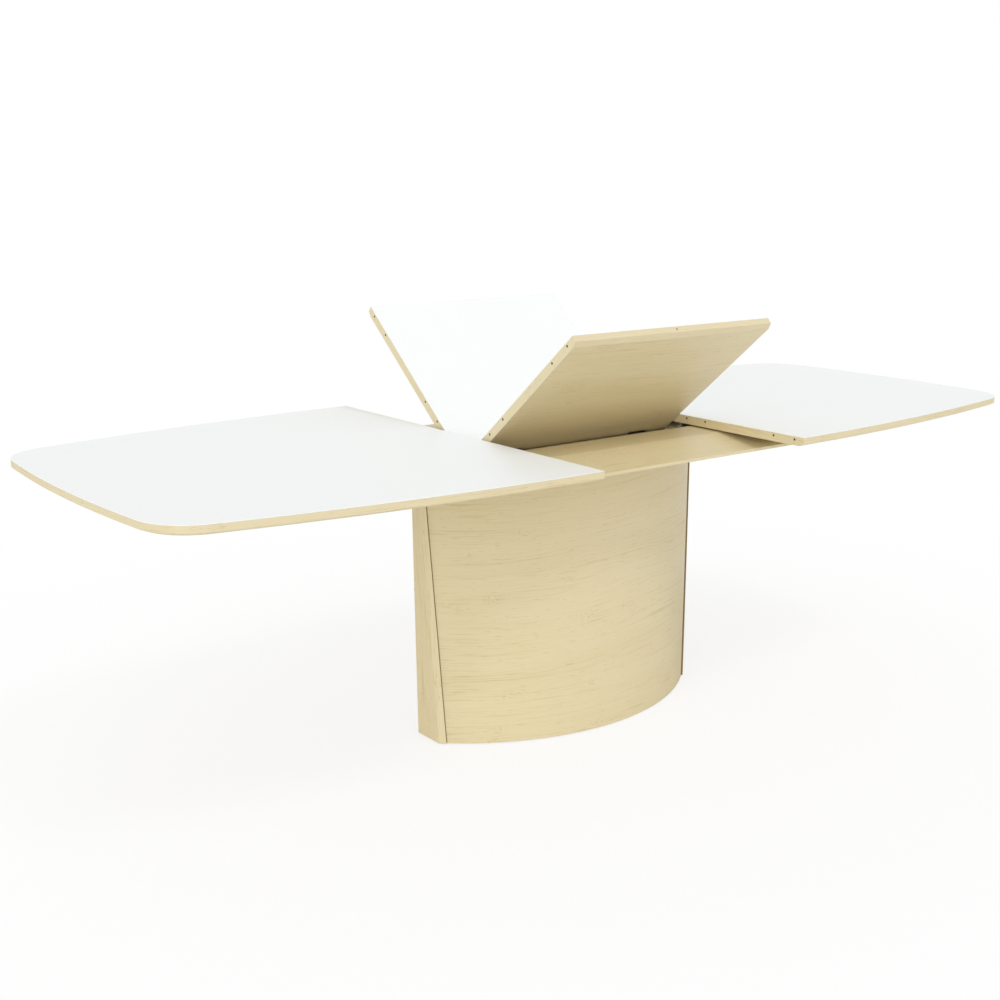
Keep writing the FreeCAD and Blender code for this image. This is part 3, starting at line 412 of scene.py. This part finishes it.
def lay_grain(piece, log, along=X, turn=LEVEL):
    """Write the grain map: box faces of the turned-back piece, grain along one axis or its edge."""
    mesh = piece.data
    layer = mesh.uv_layers.new(name=GRAIN)
    for polygon in mesh.polygons:
        normal = turn @ polygon.normal
        facing = max(range(3), key=lambda axis: abs(normal[axis]))
        plane = [axis for axis in range(3) if axis != facing]
        first = along if along in plane else plane[0]
        second = plane[1] if plane[0] == first else plane[0]
        for loop in polygon.loop_indices:
            place = turn @ mesh.vertices[mesh.loops[loop].vertex_index].co
            layer.data[loop].uv = (place[first] + log, place[second] + beside(log))


def lay_round_grain(piece, log, radius):
    """Grain that runs round a wall bent to a radius about an upright axis."""
    mesh = piece.data
    layer = mesh.uv_layers.new(name=GRAIN)
    for loop in mesh.loops:
        place = mesh.vertices[loop.vertex_index].co
        bend = radius * math.asin(max(-1.0, min(1.0, place.x / radius)))
        layer.data[loop.index].uv = (bend + log, place.z + beside(log))


def keep(piece, node, finish=None):
    """Put a piece in place of its CAD node."""
    slot = slot_of[node]
    piece.data.materials.append(finishes[finish or slot])
    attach(piece, body_of[node])
    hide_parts(node)


# ---------------------------------------------------------------- pieces

# metres off an edge
BOARD_EASE = 0.0008
SMALL_EASE = 0.0006
SHEET_EASE = 0.00025
FITTING_EASE = {"nylon": 0.0012, "rubber": 0.0020, "aluminium": 0.0004, "steel": 0.0003}

SHELL_RADIUS = 0.593
DOWEL_ROWS = (0.130, 0.195, 0.422, 0.487)      # from the middle line
TOP_ROW_HEIGHT = 0.732
FIRST_LEAF_ROW = (0.1059, 0.7550)              # out from the middle and up, folded
TOP_HOLES = (0.3068, 0.3220)                   # where the holes start and end along X
LEAF_HOLES = (0.2820, 0.2972)


def leaf_axes(side):
    """The dowel lines of one leaf half, which stands folded at rest."""
    out, up = FIRST_LEAF_ROW
    return [(side * (out + (row - DOWEL_ROWS[0]) * math.cos(FOLD)),
             up + (row - DOWEL_ROWS[0]) * math.sin(FOLD)) for row in DOWEL_ROWS]


top_axes = [(side * row, TOP_ROW_HEIGHT) for row in DOWEL_ROWS for side in (1, -1)]
for node, log in (("left_top_board", 0.0), ("right_top_board", 1.7)):
    piece = softened(node, BOARD_EASE)
    lay_grain(piece, log)
    mark_drilled(piece, top_axes, *TOP_HOLES)
    keep(piece, node, "drilled_veneer")

for node, ease, log in (
        ("deck", BOARD_EASE, 3.4),
        ("front_deck_rail", BOARD_EASE, 5.1), ("back_deck_rail", BOARD_EASE, 6.8),
        ("floor_plate", SMALL_EASE, 8.5),
        ("front_cleat", SMALL_EASE, 10.2), ("back_cleat", SMALL_EASE, 11.9)):
    piece = softened(node, ease)
    lay_grain(piece, log)
    keep(piece, node)

for node, log in (("left_end_panel", 5.3), ("right_end_panel", 7.4)):
    piece = softened(node, BOARD_EASE)
    lay_grain(piece, log, along=Z)
    keep(piece, node, "column_veneer")

for node, log in (("front_shell", 3.1), ("back_shell", 6.0)):
    piece = softened(node, BOARD_EASE)
    lay_round_grain(piece, log, SHELL_RADIUS)
    keep(piece, node, "column_veneer")

for node, side, log in (("front_leaf_board", -1, 7.7), ("back_leaf_board", 1, 9.6)):
    piece = softened(node, SMALL_EASE)
    lay_grain(piece, log, turn=Matrix.Rotation(-side * FOLD, 3, "X"))
    mark_drilled(piece, leaf_axes(side), *LEAF_HOLES)
    keep(piece, node, "drilled_veneer")

for node in ("left_top_laminate", "right_top_laminate",
             "front_leaf_laminate", "back_leaf_laminate"):
    keep(softened(node, SHEET_EASE), node)

for node in ("left_top_dowels", "front_leaf_dowels", "back_leaf_dowels"):
    piece = softened(node, SMALL_EASE)
    lay_grain(piece, log=0.4)
    keep(piece, node)

for node, slot in sorted(slot_of.items()):
    if slot in FITTING_EASE:
        shape = cross_recesses if node.endswith("screws") else None
        keep(softened(node, FITTING_EASE[slot], shape), node)


# ---------------------------------------------------------------- floor, light and camera

def stage_floor(near=0.5, far=2.5, near_glow=0.78):
    """A white floor that glows for the camera alone, less near the table, to keep its shadow."""
    bpy.ops.object.select_all(action="DESELECT")
    bpy.ops.mesh.primitive_plane_add(size=400)
    floor = bpy.context.object
    floor.name = "floor"
    f = Finish("floor_white", (0.95, 0.95, 0.95), 0.9)
    seen = f.tree.nodes.new("ShaderNodeLightPath")
    glow = f.node("ShaderNodeEmission", {}, (1, 1, 1, 1), 1.0)
    both = f.tree.nodes.new("ShaderNodeMixShader")
    x, y, z = f.object_place()
    reach = (x * x + y * y).root()
    glow_share = near_glow + reach.smooth(near, far) * (1 - near_glow)
    f.put(both.inputs[0], Value(f, seen.outputs["Is Camera Ray"]) * glow_share)
    f.tree.links.new(f.surface.outputs[0], both.inputs[1])
    f.tree.links.new(glow.socket, both.inputs[2])
    f.tree.links.new(both.outputs[0], f.tree.nodes["Material Output"].inputs["Surface"])
    floor.data.materials.append(f.material)


def sky(strength):
    """An even dome, plain white where the camera, gloss and glass see it."""
    world = bpy.data.worlds.new("studio")
    scene.world = world
    world.use_nodes = True
    tree = world.node_tree
    background = tree.nodes["Background"]
    background.inputs["Color"].default_value = (1, 1, 1, 1)
    path = tree.nodes.new("ShaderNodeLightPath")
    seen = path.outputs["Is Camera Ray"]
    for other in ("Is Glossy Ray", "Is Transmission Ray"):
        most = tree.nodes.new("ShaderNodeMath")
        most.operation = "MAXIMUM"
        tree.links.new(seen, most.inputs[0])
        tree.links.new(path.outputs[other], most.inputs[1])
        seen = most.outputs[0]
    level = tree.nodes.new("ShaderNodeMapRange")
    level.inputs["To Min"].default_value = strength
    level.inputs["To Max"].default_value = 1.0
    tree.links.new(seen, level.inputs["Value"])
    tree.links.new(level.outputs["Result"], background.inputs["Strength"])


def key_light(strength, elevation, sideways, spread):
    """A broad soft lamp, so many degrees up and to the right of straight ahead."""
    bpy.ops.object.light_add(type="SUN")
    lamp = bpy.context.object
    lamp.data.energy = strength
    lamp.data.angle = math.radians(spread)
    up, side = math.radians(elevation), math.radians(sideways)
    towards = Vector((math.sin(side) * math.cos(up), -math.cos(side) * math.cos(up), math.sin(up)))
    lamp.rotation_euler = towards.to_track_quat("Z", "Y").to_euler()


def camera(place, down, right, focal_share, sensor=36.0):
    """A camera turned so many degrees down and right, with its focal length in image widths."""
    bpy.ops.object.camera_add(location=place)
    cam = bpy.context.object
    cam.data.sensor_width = sensor
    cam.data.lens = sensor * focal_share
    cam.rotation_euler = (math.radians(90 - down), 0, math.radians(-right))
    cam.data.clip_start = 0.05
    cam.data.clip_end = 600
    scene.camera = cam


stage_floor()
sky(0.73)
key_light(0.57, elevation=58, sideways=12, spread=14)
key_light(0.92, elevation=16, sideways=-60, spread=40)
camera((-2.2136, -2.6806, 1.3531), down=13.196, right=37.072, focal_share=1.42287)
